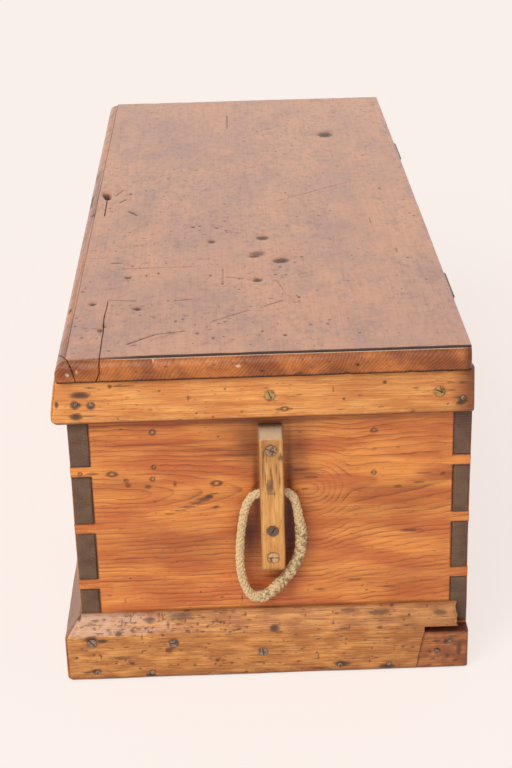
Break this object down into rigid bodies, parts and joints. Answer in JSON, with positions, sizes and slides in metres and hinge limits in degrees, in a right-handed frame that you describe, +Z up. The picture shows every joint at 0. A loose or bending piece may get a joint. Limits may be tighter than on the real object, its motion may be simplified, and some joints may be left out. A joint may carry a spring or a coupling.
{
  "type": "sea chest",
  "caption": "Long low dovetailed wooden chest with a moulded hinged lid, bevelled plinth and rope loop handles on wooden cleats, for a seaman's belongings.",
  "frame": {"origin": "middle of the footprint, on the floor", "axes": "+X along the chest to its right-hand end, +Y to the back, +Z up"},
  "size_m": [1.142, 0.4648, 0.3961],
  "materials": {
    "lid_wood": "waxed, worn",
    "case_wood": "old varnish",
    "inside_wood": "bare",
    "trim_wood": "old varnish, worn",
    "cleat_wood": "worn",
    "rope": "braided cord",
    "iron": "rusted",
    "brass": "tarnished"
  },
  "bodies": {
    "case": {"front_board": "case_wood", "back_board": "case_wood", "right_end_board": "case_wood", "left_end_board": "case_wood", "bottom_board_front": "inside_wood", "bottom_board_middle": "inside_wood", "bottom_board_back": "inside_wood", "till_front": "inside_wood", "till_bottom": "inside_wood", "front_rail": "trim_wood", "right_end_rail": "trim_wood", "left_end_rail": "trim_wood", "front_plinth": "trim_wood", "right_plinth": "trim_wood", "left_plinth": "trim_wood", "right_plinth_patch": "trim_wood", "right_cleat": "cleat_wood", "left_cleat": "cleat_wood", "right_cleat_screws": "iron", "left_cleat_screws": "iron", "right_rail_nails": "iron", "right_plinth_screws": "iron", "right_plinth_nails": "iron", "plinth_patch_nails": "iron", "left_plinth_screws": "iron", "front_plinth_screws": "iron", "bottom_nails": "iron", "right_hinge_case_leaf": "iron", "left_hinge_case_leaf": "iron", "right_hinge_pin": "iron", "left_hinge_pin": "iron", "right_hinge_case_screws": "iron", "left_hinge_case_screws": "iron", "lock_case": "iron", "lock_screws": "iron", "right_rail_screws": "brass", "left_rail_screws": "brass", "front_rail_screws": "brass", "keyhole_escutcheon": "brass", "escutcheon_pins": "brass"},
    "lid": {"lid_board": "lid_wood", "lid_corner_patch": "lid_wood", "right_hinge_lid_leaf": "iron", "left_hinge_lid_leaf": "iron", "right_hinge_lid_screws": "iron", "left_hinge_lid_screws": "iron", "lock_link_plate": "iron", "link_plate_screws": "iron"},
    "right_loop": {"right_becket": "rope"},
    "left_loop": {"left_becket": "rope"},
    "bolt": {"lock_bolt": "iron"}
  },
  "joints": [
    {"name": "lid_hinge", "type": "hinge", "parent": "case", "child": "lid", "pos_m": [0, 0.22895, 0.3703], "axis": [-1, 0, 0], "range_deg": [0, 105]},
    {"name": "right_becket_swing", "type": "hinge", "parent": "case", "child": "right_loop", "pos_m": [0.557, 0.00555, 0.23248], "axis": [0, -1, 0], "range_deg": [0, 150]},
    {"name": "left_becket_swing", "type": "hinge", "parent": "case", "child": "left_loop", "pos_m": [-0.557, 0.00555, 0.23248], "axis": [0, 1, 0], "range_deg": [0, 150]},
    {"name": "lock_bolt_slide", "type": "slide", "parent": "case", "child": "bolt", "axis": [1, 0, 0], "range_m": [0, 0.012]}
  ]
}
